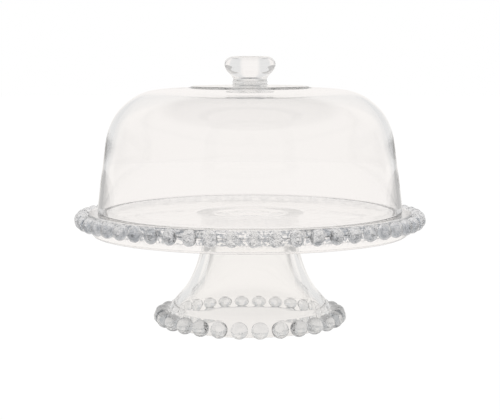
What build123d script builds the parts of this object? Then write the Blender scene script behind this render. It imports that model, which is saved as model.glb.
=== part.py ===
from build123d import *
import os

os.makedirs("parts", exist_ok=True)

# Footed glass cake stand with a loose glass dome. Millimetres, +Z up, origin at
# the centre of the foot's underside. Every piece is turned about +Z. Outlines are
# (radius, z) points, or (radius, z, rounding) corners.

# Plate: a flat disc with a thick edge band and a short skirt turned down under it
PLATE_TOP_Z = 94.0
PLATE_UNDER_Z = 88.0
PLATE_R = 134.2
PLATE_EDGE_ROUND = 2.5
BAND_FOOT_Z = 82.6
SKIRT_TOP_R = 132.0
SKIRT_TOP_Z = 82.0
SKIRT_LIP_R = 130.0
SKIRT_LIP_Z = 75.5
SKIRT_LIP_ROUND = 1.9
SKIRT_WALL = 4.2
SKIRT_ROOT_ROUND = 3.0

# Rows of glass balls round the plate and the foot; the turn is the first ball's
# angle from +X. The plate's balls are a little taller than wide.
PLATE_BEADS = 54
PLATE_BEAD_HALF_DEPTH = 5.8
PLATE_BEAD_HALF_WIDTH = 5.5
PLATE_BEAD_HALF_HEIGHT = 6.5
PLATE_BEAD_RING_R = 139.2
PLATE_BEAD_Z = 88.2
PLATE_BEAD_TURN = -88.9
FOOT_BEADS = 28
FOOT_BEAD_R = 6.9
FOOT_BEAD_RING_R = 73.4
FOOT_BEAD_Z = 7.1
FOOT_BEAD_TURN = -83.8

# Foot: outside curve of the pedestal from the top of its rim up to the neck. The
# wall is measured across, towards the axis.
FOOT_CURVE = [(65.2, 17.2), (62.3, 20.8), (53.4, 31.5), (45.2, 48.0), (41.2, 63.0), (40.0, 77.0)]
FOOT_WALL = 7.8
FOOT_RIM_R = 67.4
FOOT_RIM_Z = 14.4
FOOT_RIM_ROUND = 2.2
FOOT_OPENING_R = 61.5
FOOT_EDGE_ROUND = 1.5
FOOT_INSIDE_ROUND = 6.0
NECK_R = 41.5
NECK_ROUND = 2.6
CAVITY_TOP_Z = 80.0
CAVITY_SHOULDER = (23.2, 78.5)

# Dome: outside and inside curves from just above the rim up to the crown
DOME_CURVE = [
    (125.5, 100.0), (122.9, 121.5), (120.2, 141.0), (116.8, 160.5), (110.3, 174.4),
    (101.2, 184.0), (88.0, 191.8), (72.0, 195.0), (52.0, 196.0),
]
DOME_INSIDE = [
    (122.2, 100.0), (119.7, 121.5), (116.7, 141.0), (111.9, 159.5), (106.5, 171.3),
    (98.3, 180.7), (86.7, 188.2), (71.6, 191.5), (52.0, 192.6),
]
DOME_RIM_R = 126.2
DOME_RIM_WALL = 3.3
DOME_RIM_ROUND = 1.5
WALL_LEAN = (-0.12, 0, 1)

# Crown: a raised disc outside, a roof and a thick button under it inside
DISC_R = 48.6
DISC_TOP_Z = 197.4
DISC_EDGE_ROUND = 2.0
GROOVE_R = 49.6
GROOVE_Z = 194.9
GROOVE_ROUND = 0.4
ROOF_Z = 194.3
ROOF_R = 46.5
ROOF_STEP = (47.9, 192.7)
BUTTON_R = 19.5
BUTTON_Z = 189.8
BUTTON_BELLY = (15.0, 190.1, 14.0)
BUTTON_EDGE = (19.5, 191.6, 0.8)

# Knob: a mushroom on a short neck with two thin ridges
KNOB_NECK_R = 13.9
RIDGE_R = 14.5
RIDGE_ZS = (198.6, 200.7)
RIDGE_HALF_TOP = 0.35
RIDGE_HALF_FOOT = 0.9
RIDGE_ROUND = 0.3
KNOB_NECK_Z = 203.5
KNOB_CURVE = [
    (14.6, 204.7), (15.4, 206.0), (18.2, 208.8), (20.2, 212.0), (20.9, 214.8),
    (19.9, 218.6), (15.5, 221.5), (12.5, 221.9),
]
KNOB_DISH_Z = 221.4


def at(radius, z):
    """A point of an outline, in the XZ plane."""
    return Vector(radius, 0, z)


def through(points, **settings):
    """A smooth curve through (radius, z) points."""
    return Spline(*[at(r, z) for r, z in points], **settings)


def cornered(*corners):
    """Straight lines through (radius, z) or (radius, z, rounding) corners."""
    points = [at(*corner[:2]) for corner in corners]
    roundings = [corner[2] if len(corner) == 3 else 0 for corner in corners]
    return FilletPolyline(*points, radius=roundings[1:-1])


def lathe(*edges):
    """Turn a closed outline about +Z."""
    return revolve(make_face(Curve() + list(edges)), Axis.Z)


def bead_row(bead, count, ring_radius, z, turn, host):
    """One glass ball cut to the face it is fused to, repeated round the ring."""
    ball = Pos(ring_radius, 0, z) * bead - host
    beads = []
    for number in range(count):
        beads.append(Rot(0, 0, turn + number * 360 / count) * ball)
    return Compound(children=beads)


def make_plate():
    """Flat disc with a thick edge band and a skirt, open underneath."""
    top = at(0, PLATE_TOP_Z)
    under = at(0, PLATE_UNDER_Z)
    section = cornered(
        (0, PLATE_TOP_Z),
        (PLATE_R, PLATE_TOP_Z, PLATE_EDGE_ROUND),
        (PLATE_R, BAND_FOOT_Z, 1.0),
        (SKIRT_TOP_R, SKIRT_TOP_Z, 0.8),
        (SKIRT_LIP_R, SKIRT_LIP_Z, SKIRT_LIP_ROUND),
        (SKIRT_LIP_R - SKIRT_WALL, SKIRT_LIP_Z, SKIRT_LIP_ROUND),
        (PLATE_R - SKIRT_WALL, PLATE_UNDER_Z, SKIRT_ROOT_ROUND),
        (0, PLATE_UNDER_Z),
    )
    return lathe(section, Line(under, top))


def make_foot():
    """Hollow flared pedestal with a flat rim to stand on and a closed neck."""
    outer = through(FOOT_CURVE)
    inner = through([(r - FOOT_WALL, z) for r, z in FOOT_CURVE])
    foot_r, foot_z = FOOT_CURVE[0]
    neck_r, neck_z = FOOT_CURVE[-1]
    rim = cornered(
        (foot_r - FOOT_WALL, foot_z),
        (FOOT_RIM_R - FOOT_WALL, FOOT_RIM_Z, FOOT_INSIDE_ROUND),
        (FOOT_OPENING_R, 0, FOOT_EDGE_ROUND),
        (FOOT_RIM_R, 0, FOOT_EDGE_ROUND),
        (FOOT_RIM_R, FOOT_RIM_Z, FOOT_RIM_ROUND),
        (foot_r, foot_z),
    )
    neck = cornered((neck_r, neck_z), (NECK_R, PLATE_UNDER_Z, NECK_ROUND), (0, PLATE_UNDER_Z))
    cavity_top = at(0, CAVITY_TOP_Z)
    roof = Spline(inner @ 1, at(*CAVITY_SHOULDER), cavity_top, tangents=[(0, 0, 1), (-1, 0, 0)])
    return lathe(rim, outer, neck, Line(at(0, PLATE_UNDER_Z), cavity_top), roof, inner)


def make_dome():
    """Thin dome, open underneath, with a raised disc and a thick button in its crown."""
    ends = [WALL_LEAN, (-1, 0, 0.03)]
    outer = through(DOME_CURVE, tangents=ends)
    inner = through(DOME_INSIDE, tangents=ends)
    rim = cornered(
        DOME_INSIDE[0],
        (DOME_RIM_R - DOME_RIM_WALL, PLATE_TOP_Z, DOME_RIM_ROUND),
        (DOME_RIM_R, PLATE_TOP_Z, DOME_RIM_ROUND),
        DOME_CURVE[0],
    )
    disc = cornered(
        DOME_CURVE[-1],
        (GROOVE_R, GROOVE_Z, GROOVE_ROUND),
        (DISC_R, DISC_TOP_Z, DISC_EDGE_ROUND),
        (0, DISC_TOP_Z),
    )
    under = cornered(
        (0, BUTTON_Z),
        BUTTON_BELLY,
        BUTTON_EDGE,
        (BUTTON_R, ROOF_Z, 0.6),
        (ROOF_R, ROOF_Z, 1.2),
        (*ROOF_STEP, 1.0),
        DOME_INSIDE[-1],
    )
    return lathe(rim, outer, disc, Line(at(0, DISC_TOP_Z), at(0, BUTTON_Z)), under, inner)


def make_knob():
    """Solid mushroom standing on the disc in the middle of the crown."""
    collar = [(0, DISC_TOP_Z), (KNOB_NECK_R, DISC_TOP_Z)]
    for z in RIDGE_ZS:
        collar.append((KNOB_NECK_R, z - RIDGE_HALF_FOOT, RIDGE_ROUND))
        collar.append((RIDGE_R, z - RIDGE_HALF_TOP, RIDGE_ROUND))
        collar.append((RIDGE_R, z + RIDGE_HALF_TOP, RIDGE_ROUND))
        collar.append((KNOB_NECK_R, z + RIDGE_HALF_FOOT, RIDGE_ROUND))
    collar.append((KNOB_NECK_R, KNOB_NECK_Z, 0.25))
    collar.append(KNOB_CURVE[0])
    head = through(KNOB_CURVE, tangents=[(0.5, 0, 0.87), (-1, 0, 0)])
    brim_r, brim_z = KNOB_CURVE[-1]
    dish = Spline(at(brim_r, brim_z), at(0, KNOB_DISH_Z), tangents=[(-1, 0, 0), (-1, 0, 0)])
    return lathe(cornered(*collar), head, dish, Line(at(0, KNOB_DISH_Z), at(0, DISC_TOP_Z)))


plate = make_plate()
foot = make_foot()
plate_bead = scale(
    Sphere(PLATE_BEAD_HALF_DEPTH),
    by=(1, PLATE_BEAD_HALF_WIDTH / PLATE_BEAD_HALF_DEPTH, PLATE_BEAD_HALF_HEIGHT / PLATE_BEAD_HALF_DEPTH),
)
foot_bead = Sphere(FOOT_BEAD_R)
nodes = {
    "cake_plate": plate,
    "plate_rim_beads": bead_row(
        plate_bead, PLATE_BEADS, PLATE_BEAD_RING_R, PLATE_BEAD_Z, PLATE_BEAD_TURN, plate
    ),
    "pedestal_foot": foot,
    "foot_rim_beads": bead_row(
        foot_bead, FOOT_BEADS, FOOT_BEAD_RING_R, FOOT_BEAD_Z, FOOT_BEAD_TURN, foot
    ),
    "dome_shell": make_dome(),
    "dome_knob": make_knob(),
}
for name, shape in nodes.items():
    export_step(shape, f"parts/{name}.step")
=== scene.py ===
import math

import bmesh
import bpy
from mathutils import Matrix, Vector


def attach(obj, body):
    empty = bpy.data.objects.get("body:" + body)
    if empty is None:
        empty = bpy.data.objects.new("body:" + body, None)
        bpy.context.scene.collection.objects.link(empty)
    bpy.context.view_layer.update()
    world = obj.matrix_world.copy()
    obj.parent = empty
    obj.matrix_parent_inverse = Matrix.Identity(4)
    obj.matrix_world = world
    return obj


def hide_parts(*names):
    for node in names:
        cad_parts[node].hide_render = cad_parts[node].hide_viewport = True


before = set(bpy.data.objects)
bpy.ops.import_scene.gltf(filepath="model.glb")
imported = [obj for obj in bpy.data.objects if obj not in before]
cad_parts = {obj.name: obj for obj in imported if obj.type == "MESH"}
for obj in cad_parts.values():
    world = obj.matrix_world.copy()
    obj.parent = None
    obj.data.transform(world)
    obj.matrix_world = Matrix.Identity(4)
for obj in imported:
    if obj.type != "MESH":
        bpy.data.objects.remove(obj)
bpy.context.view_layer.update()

MM = 0.001

# In millimetres: points closer than this are one, and a point this close to the
# axis is on it
SAME_POINT = 1e-4
ON_AXIS = 1e-6

# ---------------------------------------------------------------- dimensions
# In millimetres, in the CAD's frame. Outlines are (radius, height) points or
# (radius, height, rounding) corners. A lean is a curve's direction at its end. Rows
# are the radii of the rings of points that cross a flat face.

# The foot's rim stays clear of the floor, and the dome's rim of the plate, so that no
# two faces lie in one plane
FLOOR_GAP = 0.05
RIM_GAP = 0.1

# Plate
PLATE_TOP = 94.0
PLATE_UNDER = 88.0
PLATE_R = 134.2
PLATE_EDGE_ROUND = 2.5
BAND_FOOT = 82.6
BAND_FOOT_ROUND = 1.0
SKIRT_TOP = (132.0, 82.0, 0.8)
SKIRT_LIP = 75.5
SKIRT_LIP_R = 130.0
SKIRT_LIP_ROUND = 1.9
SKIRT_WALL = 4.2
SKIRT_ROOT_ROUND = 3.0
PLATE_TOP_ROWS = (0, 10, 30, 60, 90, 110, 120, 128)
PLATE_UNDER_ROWS = (110, 90, 70, 55, 46)

# Rows of glass balls; size is half-depth, half-width and half-height, and turn
# is the first ball's angle from +X
PLATE_BEADS = {"count": 54, "size": (5.8, 5.5, 6.5), "ring": 139.2, "z": 88.2, "turn": -88.9}
FOOT_BEADS = {"count": 28, "size": (6.9, 6.9, 6.9), "ring": 73.4, "z": 7.1, "turn": -83.8}

# Foot: outside curve from the top of its rim up to the neck
FOOT_CURVE = [(65.2, 17.2), (62.3, 20.8), (53.4, 31.5), (45.2, 48.0), (41.2, 63.0), (40.0, 77.0)]
FOOT_WALL = 7.8
FOOT_NECK_R = 41.5
FOOT_NECK_ROUND = 2.6
FOOT_RIM_R = 67.4
FOOT_RIM_TOP = 14.4
FOOT_RIM_ROUND = 2.2
FOOT_OPENING_R = 61.5
FOOT_EDGE_ROUND = 1.5
FOOT_INSIDE_ROUND = 6.0
CAVITY_TOP = 80.0
CAVITY_SHOULDER = 78.5
CAVITY_SHOULDER_PART = 0.72

# Dome: outside and inside curves from just above the rim up to the crown
DOME_CURVE = [
    (125.5, 100.0), (122.9, 121.5), (120.2, 141.0), (116.8, 160.5), (110.3, 174.4),
    (101.2, 184.0), (88.0, 191.8), (72.0, 195.0), (52.0, 196.0),
]
DOME_INSIDE = [
    (122.2, 100.0), (119.7, 121.5), (116.7, 141.0), (111.9, 159.5), (106.5, 171.3),
    (98.3, 180.7), (86.7, 188.2), (71.6, 191.5), (52.0, 192.6),
]
WALL_LEAN = (-0.12, 1)
CROWN_LEAN = (-1, 0.03)
DOME_RIM = PLATE_TOP + RIM_GAP
DOME_RIM_R = 126.2
DOME_RIM_WALL = 3.3
DOME_RIM_ROUND = 1.5

# Crown: a raised disc outside, a roof and a thick button under it inside
DISC_TOP = 197.4
DISC_EDGE = (48.6, DISC_TOP, 2.0)
DISC_ROWS = (40, 32, 24, 16)
GROOVE = (49.6, 194.9, 0.4)
ROOF = 194.3
ROOF_ROWS = (26, 34)
ROOF_EDGE = (46.5, ROOF, 1.2)
ROOF_STEP = (47.9, 192.7, 1.0)
BUTTON_UNDER = 189.8
BUTTON_ROWS = (0, 4)
BUTTON_BELLY = (15.0, 190.1, 14.0)
BUTTON_EDGE = (19.5, 191.6, 0.8)
BUTTON_ROOT = (19.5, ROOF, 0.6)

# Knob: a mushroom on a short neck with two thin ridges
KNOB_NECK_R = 13.9
KNOB_FOOT_ROUND = 0.4
RIDGE_R = 14.5
RIDGES = (198.6, 200.7)
RIDGE_HALF_TOP = 0.35
RIDGE_HALF_FOOT = 0.9
RIDGE_ROUND = 0.3
KNOB_NECK_TOP = (KNOB_NECK_R, 203.5, 0.25)
KNOB_CURVE = [
    (14.6, 204.7), (15.4, 206.0), (18.2, 208.8), (20.2, 212.0), (20.9, 214.8),
    (19.9, 218.6), (15.5, 221.5), (12.5, 221.9),
]
KNOB_START_LEAN = (0.5, 0.87)
KNOB_DISH = [(10.0, 221.75), (7.0, 221.55), (3.5, 221.45), (0, 221.4)]

# Steps of the outlines: from point to point of a curve, and degrees at a corner
FOOT_STEPS = 8
DOME_STEPS = 10
KNOB_STEPS = 8
CORNER_STEP = 12
KNOB_CORNER_STEP = 20
UP = (0, 1)
INWARD = (-1, 0)

# Steps of the meshes, and the angle in degrees from which an edge is shaded sharp
STAND_SEGMENTS = 324
LID_SEGMENTS = 288
BEAD_AROUND = 40
BEAD_ALONG = 24
SHARP_ANGLE = 38


# ------------------------------------------------------------------ outlines
def spline(points, steps, start=None, end=None):
    """Smooth curve through the points, in equal steps between each two."""
    pts = [Vector(p) for p in points]
    t = [0.0]
    for a, b in zip(pts, pts[1:]):
        t.append(t[-1] + (b - a).length)
    slopes = tangents(pts, t, start, end)
    out = []
    for i in range(len(pts) - 1):
        h = t[i + 1] - t[i]
        for k in range(steps):
            s = k / steps
            a = (2 * s**3 - 3 * s**2 + 1) * pts[i] + (s**3 - 2 * s**2 + s) * h * slopes[i]
            b = (3 * s**2 - 2 * s**3) * pts[i + 1] + (s**3 - s**2) * h * slopes[i + 1]
            out.append(a + b)
    out.append(pts[-1])
    return out


def tangents(pts, t, start, end):
    """Slopes that keep the curvature continuous, by Gaussian elimination.

    An end without a direction of its own is left without curvature.
    """
    n = len(pts) - 1
    lower, diag, upper = [0.0], [2.0], [1.0]
    rhs = [3 * ((pts[1] - pts[0]) / (t[1] - t[0]))]
    if start is not None:
        diag[0], upper[0], rhs[0] = 1.0, 0.0, Vector(start).normalized()
    for i in range(1, n):
        ha, hb = t[i] - t[i - 1], t[i + 1] - t[i]
        lower.append(hb)
        diag.append(2 * (ha + hb))
        upper.append(ha)
        rhs.append(3 * (hb * (pts[i] - pts[i - 1]) / ha + ha * (pts[i + 1] - pts[i]) / hb))
    lower.append(1.0)
    diag.append(2.0)
    upper.append(0.0)
    rhs.append(3 * ((pts[n] - pts[n - 1]) / (t[n] - t[n - 1])))
    if end is not None:
        lower[n], diag[n], rhs[n] = 0.0, 1.0, Vector(end).normalized()
    for i in range(1, n + 1):
        w = lower[i] / diag[i - 1]
        diag[i] -= w * upper[i - 1]
        rhs[i] = rhs[i] - w * rhs[i - 1]
    out = [None] * (n + 1)
    out[n] = rhs[n] / diag[n]
    for i in range(n - 1, -1, -1):
        out[i] = (rhs[i] - upper[i] * out[i + 1]) / diag[i]
    return out


def rounded(corners, step=CORNER_STEP):
    """Straight lines from corner to corner, with the roundings in steps of up to step degrees."""
    out = []
    last = len(corners) - 1
    for i, (r, z, *radius) in enumerate(corners):
        p = Vector((r, z))
        if not radius or i in (0, last):
            out.append(p)
            continue
        a = (Vector(corners[i - 1][:2]) - p).normalized()
        b = (Vector(corners[i + 1][:2]) - p).normalized()
        half = a.angle(b) / 2
        reach = radius[0] / math.tan(half)
        centre = p + (a + b).normalized() * radius[0] / math.sin(half)
        first, final = p + a * reach - centre, p + b * reach - centre
        turn = math.atan2(first.x * final.y - first.y * final.x, first.dot(final))
        count = max(2, math.ceil(abs(math.degrees(turn)) / step))
        for k in range(count + 1):
            angle = turn * k / count
            c, s = math.cos(angle), math.sin(angle)
            out.append(centre + Vector((first.x * c - first.y * s, first.x * s + first.y * c)))
    return out


def level(radii, z):
    """Points at one height."""
    return [Vector((r, z)) for r in radii]


def stand_outline():
    """The plate from its middle round to the foot's neck, and the foot from there.

    The foot goes down its outside, across its rim and up its inside.
    """
    plate = level(PLATE_TOP_ROWS, PLATE_TOP)
    plate += rounded([
        (PLATE_TOP_ROWS[-1], PLATE_TOP),
        (PLATE_R, PLATE_TOP, PLATE_EDGE_ROUND),
        (PLATE_R, BAND_FOOT, BAND_FOOT_ROUND),
        SKIRT_TOP,
        (SKIRT_LIP_R, SKIRT_LIP, SKIRT_LIP_ROUND),
        (SKIRT_LIP_R - SKIRT_WALL, SKIRT_LIP, SKIRT_LIP_ROUND),
        (PLATE_R - SKIRT_WALL, PLATE_UNDER, SKIRT_ROOT_ROUND),
        (PLATE_UNDER_ROWS[0], PLATE_UNDER),
    ])
    plate += level(PLATE_UNDER_ROWS, PLATE_UNDER)
    outer = spline(FOOT_CURVE, FOOT_STEPS)
    inner = [p - Vector((FOOT_WALL, 0)) for p in outer]
    foot = rounded([
        (PLATE_UNDER_ROWS[-1], PLATE_UNDER),
        (FOOT_NECK_R, PLATE_UNDER, FOOT_NECK_ROUND),
        FOOT_CURVE[-1],
    ])
    foot += outer[::-1][1:]
    foot += rounded([
        outer[0],
        (FOOT_RIM_R, FOOT_RIM_TOP, FOOT_RIM_ROUND),
        (FOOT_RIM_R, FLOOR_GAP, FOOT_EDGE_ROUND),
        (FOOT_OPENING_R, FLOOR_GAP, FOOT_EDGE_ROUND),
        (FOOT_RIM_R - FOOT_WALL, FOOT_RIM_TOP, FOOT_INSIDE_ROUND),
        inner[0],
    ])
    foot += inner[1:]
    wall = inner[-1]
    shoulder = (wall.x * CAVITY_SHOULDER_PART, CAVITY_SHOULDER)
    foot += spline([wall, shoulder, (0, CAVITY_TOP)], FOOT_STEPS, UP, INWARD)[1:]
    return plate, foot


def lid_outline():
    """The dome from under its button round to the knob's neck, and the knob from there.

    The dome goes down its inside, round its rim and up its outside.
    """
    outer = spline(DOME_CURVE, DOME_STEPS, WALL_LEAN, CROWN_LEAN)
    inner = spline(DOME_INSIDE, DOME_STEPS, WALL_LEAN, CROWN_LEAN)
    middle = (BUTTON_ROWS[-1], BUTTON_UNDER)
    under = level(BUTTON_ROWS, BUTTON_UNDER)
    under += rounded([middle, BUTTON_BELLY, BUTTON_EDGE, BUTTON_ROOT, (ROOF_ROWS[0], ROOF)])
    under += rounded([(ROOF_ROWS[-1], ROOF), ROOF_EDGE, ROOF_STEP, DOME_INSIDE[-1]])
    rim = rounded([
        inner[0],
        (DOME_RIM_R - DOME_RIM_WALL, DOME_RIM, DOME_RIM_ROUND),
        (DOME_RIM_R, DOME_RIM, DOME_RIM_ROUND),
        outer[0],
    ])
    disc = rounded([DOME_CURVE[-1], GROOVE, DISC_EDGE, (DISC_ROWS[0], DISC_TOP)])
    disc += level(DISC_ROWS, DISC_TOP)
    dome = under + inner[::-1][1:-1] + rim + outer[1:-1] + disc
    collar = [(DISC_ROWS[-1], DISC_TOP), (KNOB_NECK_R, DISC_TOP, KNOB_FOOT_ROUND)]
    for z in RIDGES:
        collar += [
            (KNOB_NECK_R, z - RIDGE_HALF_FOOT, RIDGE_ROUND),
            (RIDGE_R, z - RIDGE_HALF_TOP, RIDGE_ROUND),
            (RIDGE_R, z + RIDGE_HALF_TOP, RIDGE_ROUND),
            (KNOB_NECK_R, z + RIDGE_HALF_FOOT, RIDGE_ROUND),
        ]
    knob = rounded([*collar, KNOB_NECK_TOP, KNOB_CURVE[0]], KNOB_CORNER_STEP)
    knob += spline(KNOB_CURVE, KNOB_STEPS, KNOB_START_LEAN, INWARD)[1:]
    knob += [Vector(p) for p in KNOB_DISH]
    return dome, knob


# -------------------------------------------------------------------- meshes
def lathe(runs, segments):
    """Turn runs of an outline about Z; each run is (points, material index)."""
    bm = bmesh.new()
    rings, owners, last = [], [], None
    for points, index in runs:
        for p in points:
            if last is not None:
                if (last - p).length < SAME_POINT:
                    continue
                owners.append(index)
            last = p
            around = segments if p.x >= ON_AXIS else 1
            ring = []
            for k in range(around):
                angle = 2 * math.pi * k / segments
                place = (p.x * math.cos(angle) * MM, p.x * math.sin(angle) * MM, p.y * MM)
                ring.append(bm.verts.new(place))
            rings.append(ring)
    for a, b, index in zip(rings, rings[1:], owners):
        for k in range(segments):
            m = (k + 1) % segments
            if len(a) == 1:
                corners = (a[0], b[k], b[m])
            elif len(b) == 1:
                corners = (a[k], b[0], a[m])
            else:
                corners = (a[k], b[k], b[m], a[m])
            bm.faces.new(corners).material_index = index
    bmesh.ops.recalc_face_normals(bm, faces=bm.faces)
    return bm


def mesh_object(name, bm):
    """A smooth-shaded object of the mesh."""
    mesh = bpy.data.meshes.new(name)
    bm.to_mesh(mesh)
    bm.free()
    for polygon in mesh.polygons:
        polygon.use_smooth = True
    obj = bpy.data.objects.new(name, mesh)
    bpy.context.scene.collection.objects.link(obj)
    return obj


def ball_shell():
    """Points of a ball of radius 1 from pole to pole along X, and its faces."""
    points = [Vector((1, 0, 0))]
    for i in range(1, BEAD_ALONG):
        a = math.pi * i / BEAD_ALONG
        for k in range(BEAD_AROUND):
            b = 2 * math.pi * k / BEAD_AROUND
            points.append(Vector((math.cos(a), math.sin(a) * math.cos(b), math.sin(a) * math.sin(b))))
    points.append(Vector((-1, 0, 0)))
    faces = []
    for k in range(BEAD_AROUND):
        m = (k + 1) % BEAD_AROUND
        faces.append((0, 1 + k, 1 + m))
        row = 1
        for _ in range(BEAD_ALONG - 2):
            faces.append((row + k, row + BEAD_AROUND + k, row + BEAD_AROUND + m, row + m))
            row += BEAD_AROUND
        faces.append((row + k, row + BEAD_AROUND, row + m))
    return points, faces


def beads(index, count, size, ring, z, turn):
    """Glass balls in a ring, with their poles along the radius."""
    points, faces = ball_shell()
    centre = Vector((ring, 0, z))
    bm = bmesh.new()
    for number in range(count):
        place = Matrix.Rotation(math.radians(turn + number * 360 / count), 4, "Z")
        made = [bm.verts.new(place @ ((p * Vector(size) + centre) * MM)) for p in points]
        for face in faces:
            bm.faces.new([made[i] for i in face]).material_index = index
    bmesh.ops.recalc_face_normals(bm, faces=bm.faces)
    return bm


def fuse(obj, other):
    """Union of two closed meshes."""
    modifier = obj.modifiers.new("fuse", "BOOLEAN")
    modifier.operation = "UNION"
    modifier.solver = "MANIFOLD"
    modifier.object = other
    graph = bpy.context.evaluated_depsgraph_get()
    mesh = bpy.data.meshes.new_from_object(obj.evaluated_get(graph))
    obj.modifiers.clear()
    obj.data = mesh
    bpy.data.objects.remove(other)


def split(obj, names, body):
    """Make one piece of each material index of a fused mesh."""
    out = []
    for index, (name, cad_node) in enumerate(names):
        bm = bmesh.new()
        bm.from_mesh(obj.data)
        others = [face for face in bm.faces if face.material_index != index]
        bmesh.ops.delete(bm, geom=others, context="FACES")
        for face in bm.faces:
            face.material_index = 0
        piece = mesh_object(name, bm)
        piece.data.set_sharp_from_angle(angle=math.radians(SHARP_ANGLE))
        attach(piece, body)
        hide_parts(cad_node)
        out.append(piece)
    bpy.data.objects.remove(obj)
    return out


# ----------------------------------------------------------------- materials
# Tints of the glass; the balls' dark tints are painted shade. Depths of the surface's
# unevenness are in metres, and its scales are per metre.
CLEAR = (0.99, 0.985, 0.98)
BLOWN = (0.993, 0.99, 0.988)
FAINT = 0.00002
# The plate's second tint, on its edge alone, is partly the glass's own absorption along the long way
# through it and partly painted shade.
PLATE_LOOK = {"tint": CLEAR, "other": (0.33, 0.355, 0.39), "waviness": FAINT, "scale": 60}
FOOT_LOOK = {"tint": CLEAR, "other": (0.975, 0.975, 0.965), "waviness": FAINT, "scale": 60}
# Painted shade: the plate's balls are tinted dark grey-blue, with random clear specks.
PLATE_BEAD_SHADE_LOOK = {
    "tint": (0.655, 0.68, 0.71), "other": (0.99, 0.995, 1.0), "waviness": 0.0006, "scale": 420,
}
# Painted shade: the foot's balls are tinted dark grey, with random clear specks.
FOOT_BEAD_SHADE_LOOK = {
    "tint": (0.64, 0.655, 0.67), "other": (0.98, 0.985, 0.985), "waviness": 0.0005, "scale": 280,
}
# Painted shade: the dome's second tint darkens a thin ring at the crown's step.
DOME_LOOK = {"tint": BLOWN, "other": (0.58, 0.585, 0.58), "waviness": FAINT, "scale": 14}
# Painted shade: the knob's second tint darkens its neck below the head.
KNOB_LOOK = {"tint": BLOWN, "other": (0.86, 0.865, 0.86), "waviness": FAINT, "scale": 14}
GLASS_IOR = 1.5
UNEVEN_DETAIL = 2.0

# Zones of the second tint, where it paints shade, in metres; each pair is where a
# fade starts and ends
EDGE_ABSORB_SHADE_FADE = (0.1305, 0.1340)
CROWN_STEP_R = 0.0491
CROWN_STEP_SHADE_FADE = (0.0006, 0.0018)
NECK_SHADE_FADE = (0.2030, 0.2055)

# Grains in the painted shade of the plate's edge: scale per metre, and the values of
# the noise between which a grain fades out
GRAIN_SCALE = 420.0
GRAIN_DETAIL = 1.0
GRAIN_FADE = (0.42, 0.58)


def node(tree, kind, inputs=(), **settings):
    """A new node; inputs are sockets to link or plain values."""
    made = tree.nodes.new(kind)
    for name, value in settings.items():
        setattr(made, name, value)
    for socket, value in dict(inputs).items():
        if isinstance(value, bpy.types.NodeSocket):
            tree.links.new(value, made.inputs[socket])
        else:
            made.inputs[socket].default_value = value
    return made


def maths(tree, operation, a, b=0.0):
    return node(tree, "ShaderNodeMath", {0: a, 1: b}, operation=operation).outputs[0]


def distance(tree, value, middle):
    """How far the value is from the middle, to either side."""
    return maths(tree, "ABSOLUTE", maths(tree, "SUBTRACT", value, middle))


def fade(tree, value, low, high):
    """1 below low, 0 above high, smooth between."""
    ends = {"Value": value, "From Min": low, "From Max": high, "To Min": 1.0, "To Max": 0.0}
    made = node(tree, "ShaderNodeMapRange", ends, interpolation_type="SMOOTHSTEP")
    return made.outputs["Result"]


def rise(tree, value, low, high):
    """0 below low, 1 above high, smooth between."""
    return maths(tree, "SUBTRACT", 1.0, fade(tree, value, low, high))


def blend(tree, factor, a, b):
    """Colour a where the factor is 0, colour b where it is 1.

    A mix node has sockets of one name for each kind of value, so its colour sockets go
    by number: 6 and 7 in, 2 out.
    """
    return node(tree, "ShaderNodeMix", {0: factor, 6: a, 7: b}, data_type="RGBA").outputs[2]


def noise(tree, place, scale, detail):
    inputs = {"Vector": place, "Scale": scale, "Detail": detail}
    return node(tree, "ShaderNodeTexNoise", inputs).outputs["Fac"]


def object_place(tree):
    """Coordinates in the object's own frame."""
    return tree.nodes.new("ShaderNodeTexCoord").outputs["Object"]


def parts_of(tree, vector):
    """The X, Y and Z of a vector."""
    return node(tree, "ShaderNodeSeparateXYZ", {"Vector": vector}).outputs


def axis_radius(tree, place):
    """Distance from the object's Z axis."""
    parts = parts_of(tree, place)
    squares = [maths(tree, "MULTIPLY", parts[axis], parts[axis]) for axis in "XY"]
    return maths(tree, "SQRT", maths(tree, "ADD", *squares))


def plate_edge_absorption_and_shade(tree, place):
    """The plate's edge in small grains: its dark tint is partly the glass's own absorption, partly
    painted shade.
    """
    edge = rise(tree, axis_radius(tree, place), *EDGE_ABSORB_SHADE_FADE)
    grains = fade(tree, noise(tree, place, GRAIN_SCALE, GRAIN_DETAIL), *GRAIN_FADE)
    return maths(tree, "MULTIPLY", edge, grains)


def crown_step_shade(tree, place):
    """The ring where the crown's disc steps down to the dome, as a painted dark line of shade."""
    return fade(tree, distance(tree, axis_radius(tree, place), CROWN_STEP_R), *CROWN_STEP_SHADE_FADE)


def knob_neck_shade(tree, place):
    """The knob below its head, darkened with painted shade."""
    return fade(tree, parts_of(tree, place)["Z"], *NECK_SHADE_FADE)


def new_material(name):
    """A material with its node tree and its shader."""
    material = bpy.data.materials.new(name)
    material.use_nodes = True
    tree = material.node_tree
    return material, tree, tree.nodes["Principled BSDF"]


def glass(name, tint, other, waviness, scale, zone=None):
    """Clear glass with a faint unevenness in its surface.

    The second tint comes in with the unevenness or, with a zone, in that zone alone, as painted
    shade.
    """
    material, tree, shader = new_material(name)
    shader.inputs["Transmission Weight"].default_value = 1.0
    shader.inputs["Roughness"].default_value = 0.0
    shader.inputs["IOR"].default_value = GLASS_IOR
    place = object_place(tree)
    uneven = noise(tree, place, scale, UNEVEN_DETAIL)
    amount = zone(tree, place) if zone else uneven
    colour = blend(tree, amount, (*tint, 1), (*other, 1))
    tree.links.new(colour, shader.inputs["Base Color"])
    bump = node(tree, "ShaderNodeBump", {"Strength": 1.0, "Distance": waviness, "Height": uneven})
    tree.links.new(bump.outputs["Normal"], shader.inputs["Normal"])
    return material


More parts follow.
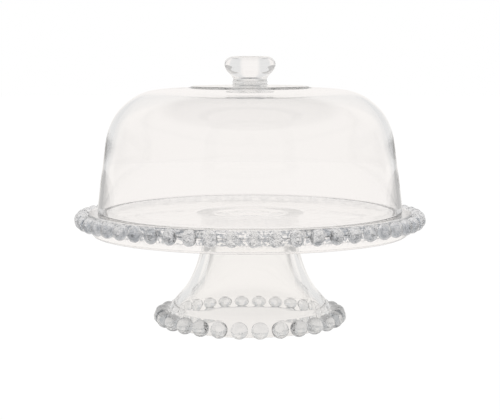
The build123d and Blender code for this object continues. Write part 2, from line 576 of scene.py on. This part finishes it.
# --------------------------------------------------------------------- build
def make_stand():
    """Plate, foot and both rows of balls, as one glass body cut into its pieces."""
    plate, foot = stand_outline()
    stand = mesh_object("stand_blank", lathe([(plate, 0), (foot, 1)], STAND_SEGMENTS))
    fuse(stand, mesh_object("ball_blank", beads(2, **PLATE_BEADS)))
    fuse(stand, mesh_object("ball_blank", beads(3, **FOOT_BEADS)))
    names = [
        ("plate_glass", "cake_plate"),
        ("foot_glass", "pedestal_foot"),
        ("plate_beads_glass", "plate_rim_beads"),
        ("foot_beads_glass", "foot_rim_beads"),
    ]
    return split(stand, names, "stand")


def make_lid():
    """Dome and knob, as one glass body cut into its pieces."""
    dome, knob = lid_outline()
    lid = mesh_object("lid_blank", lathe([(dome, 0), (knob, 1)], LID_SEGMENTS))
    names = [("dome_glass", "dome_shell"), ("knob_glass", "dome_knob")]
    return split(lid, names, "lid")


pieces = make_stand() + make_lid()
looks = [
    glass("plate_pressed_glass", **PLATE_LOOK, zone=plate_edge_absorption_and_shade),
    glass("foot_pressed_glass", **FOOT_LOOK),
    glass("plate_bead_shade_glass", **PLATE_BEAD_SHADE_LOOK),
    glass("foot_bead_shade_glass", **FOOT_BEAD_SHADE_LOOK),
    glass("dome_blown_glass", **DOME_LOOK, zone=crown_step_shade),
    glass("knob_solid_glass", **KNOB_LOOK, zone=knob_neck_shade),
]
slots = ["pressed_glass"] * 4 + ["dome_glass", "knob_glass"]
for piece, look, slot in zip(pieces, looks, slots):
    piece.data.materials.clear()
    piece.data.materials.append(look)


# --------------------------------------------------------------------- stage
# The camera sees plain white. These are the colours that the glass mirrors and
# refracts.
WHITE = (1.0, 1.0, 1.0, 1)
PAPER = (0.95, 0.925, 0.905, 1)
BEHIND = (0.80, 0.785, 0.775, 1)
FLOOR_PANEL = (0.50, 0.495, 0.49, 1)
WALL_PANEL = (0.79, 0.79, 0.79, 1)
CEILING = (0.26, 0.265, 0.275, 1)
CONTACT_SHADE = (0.52, 0.51, 0.50, 1)
# Painted shade on the floor inside the foot, seen only through the glass
UNDER_FOOT_SHADE = (0.87, 0.845, 0.825, 1)
FLOOR_DIFFUSE = (0.03, 0.03, 0.03, 1)

# In metres; each pair is where a fade starts and ends
FLOOR_HALF = 6.0
FAR_FADE = (0.50, 0.80)
CONTACT_R = 0.072
CONTACT_FADE = (0.005, 0.017)
UNDER_FOOT_SHADE_FADE = (0.050, 0.070)

# In degrees: azimuth of a panel's middle, to either side of +Y, and how far from it the
# panel starts and ends its fade
FLOOR_PANEL_AT = (50, 26, 34)
WALL_PANEL_AT = (27, 9, 17)

# In degrees: how far off +Y the wall ahead fades into those beside and behind the
# camera, and how far above the horizon the walls fade into the ceiling
AHEAD_FADE = (50, 70)
CEILING_FADE = (41, 55)


def sector(tree, direction, middle, inner, outer):
    """Two sectors, one to either side of +Y, in degrees of azimuth.

    1 within inner of the middle, 0 beyond outer from it.
    """
    parts = parts_of(tree, direction)
    azimuth = maths(tree, "ABSOLUTE", maths(tree, "ARCTAN2", parts["X"], parts["Y"]))
    off = distance(tree, azimuth, math.radians(middle))
    return fade(tree, off, math.radians(inner), math.radians(outer))


def white_to_camera(tree, colour):
    """White for the camera's own rays, the colour for all others."""
    seen = tree.nodes.new("ShaderNodeLightPath").outputs["Is Camera Ray"]
    return blend(tree, seen, colour, WHITE)


def floor_material():
    """Glowing white floor with a grey panel at each side and shade at the foot."""
    material, tree, shader = new_material("floor_white")
    shader.inputs["Base Color"].default_value = FLOOR_DIFFUSE
    shader.inputs["Roughness"].default_value = 1.0
    shader.inputs["Specular IOR Level"].default_value = 0.0
    shader.inputs["Emission Strength"].default_value = 1.0
    place = object_place(tree)
    radius = axis_radius(tree, place)
    far = rise(tree, radius, *FAR_FADE)
    panels = maths(tree, "MULTIPLY", far, sector(tree, place, *FLOOR_PANEL_AT))
    colour = blend(tree, panels, PAPER, FLOOR_PANEL)
    # Painted shade: the floor inside the foot is darker
    colour = blend(tree, fade(tree, radius, *UNDER_FOOT_SHADE_FADE), colour, UNDER_FOOT_SHADE)
    contact = fade(tree, distance(tree, radius, CONTACT_R), *CONTACT_FADE)
    colour = blend(tree, contact, colour, CONTACT_SHADE)
    tree.links.new(white_to_camera(tree, colour), shader.inputs["Emission Color"])
    return material


def make_floor():
    """Flat square that the stand rests on."""
    h = FLOOR_HALF
    mesh = bpy.data.meshes.new("floor")
    mesh.from_pydata([(-h, -h, 0), (h, -h, 0), (h, h, 0), (-h, h, 0)], [], [(0, 1, 2, 3)])
    mesh.materials.append(floor_material())
    floor = bpy.data.objects.new("floor", mesh)
    bpy.context.scene.collection.objects.link(floor)


def make_world():
    """White room with a grey panel at each side and a dark ceiling."""
    world = bpy.data.worlds.new("studio")
    bpy.context.scene.world = world
    world.use_nodes = True
    tree = world.node_tree
    around = tree.nodes.new("ShaderNodeTexCoord").outputs["Generated"]
    parts = parts_of(tree, around)
    off_y = maths(tree, "ARCCOSINE", parts["Y"])
    ahead = fade(tree, off_y, *[math.radians(angle) for angle in AHEAD_FADE])
    below = fade(tree, parts["Z"], *[math.sin(math.radians(angle)) for angle in CEILING_FADE])
    walls = blend(tree, ahead, BEHIND, PAPER)
    walls = blend(tree, sector(tree, around, *WALL_PANEL_AT), walls, WALL_PANEL)
    room = blend(tree, below, CEILING, walls)
    background = tree.nodes["Background"]
    tree.links.new(white_to_camera(tree, room), background.inputs["Color"])
    background.inputs["Strength"].default_value = 1.0


make_floor()
make_world()


# -------------------------------------------------------------------- camera
# Lens and sensor in millimetres, place in metres, tilt in degrees below the horizon
LENS = 104.7
SENSOR = 36
CAMERA_PLACE = (0, -1.2, 0.2266)
CAMERA_TILT = 6.27
BOUNCES = 32


def make_camera():
    """Camera in front of the stand, looking along +Y and a little down."""
    data = bpy.data.cameras.new("camera")
    data.lens = LENS
    data.sensor_width = SENSOR
    camera = bpy.data.objects.new("camera", data)
    camera.location = CAMERA_PLACE
    camera.rotation_euler = (math.radians(90 - CAMERA_TILT), 0, 0)
    bpy.context.scene.collection.objects.link(camera)
    bpy.context.scene.camera = camera


make_camera()
bpy.context.scene.view_settings.view_transform = "Standard"
cycles = bpy.context.scene.cycles
cycles.max_bounces = BOUNCES
cycles.glossy_bounces = BOUNCES
cycles.transmission_bounces = BOUNCES
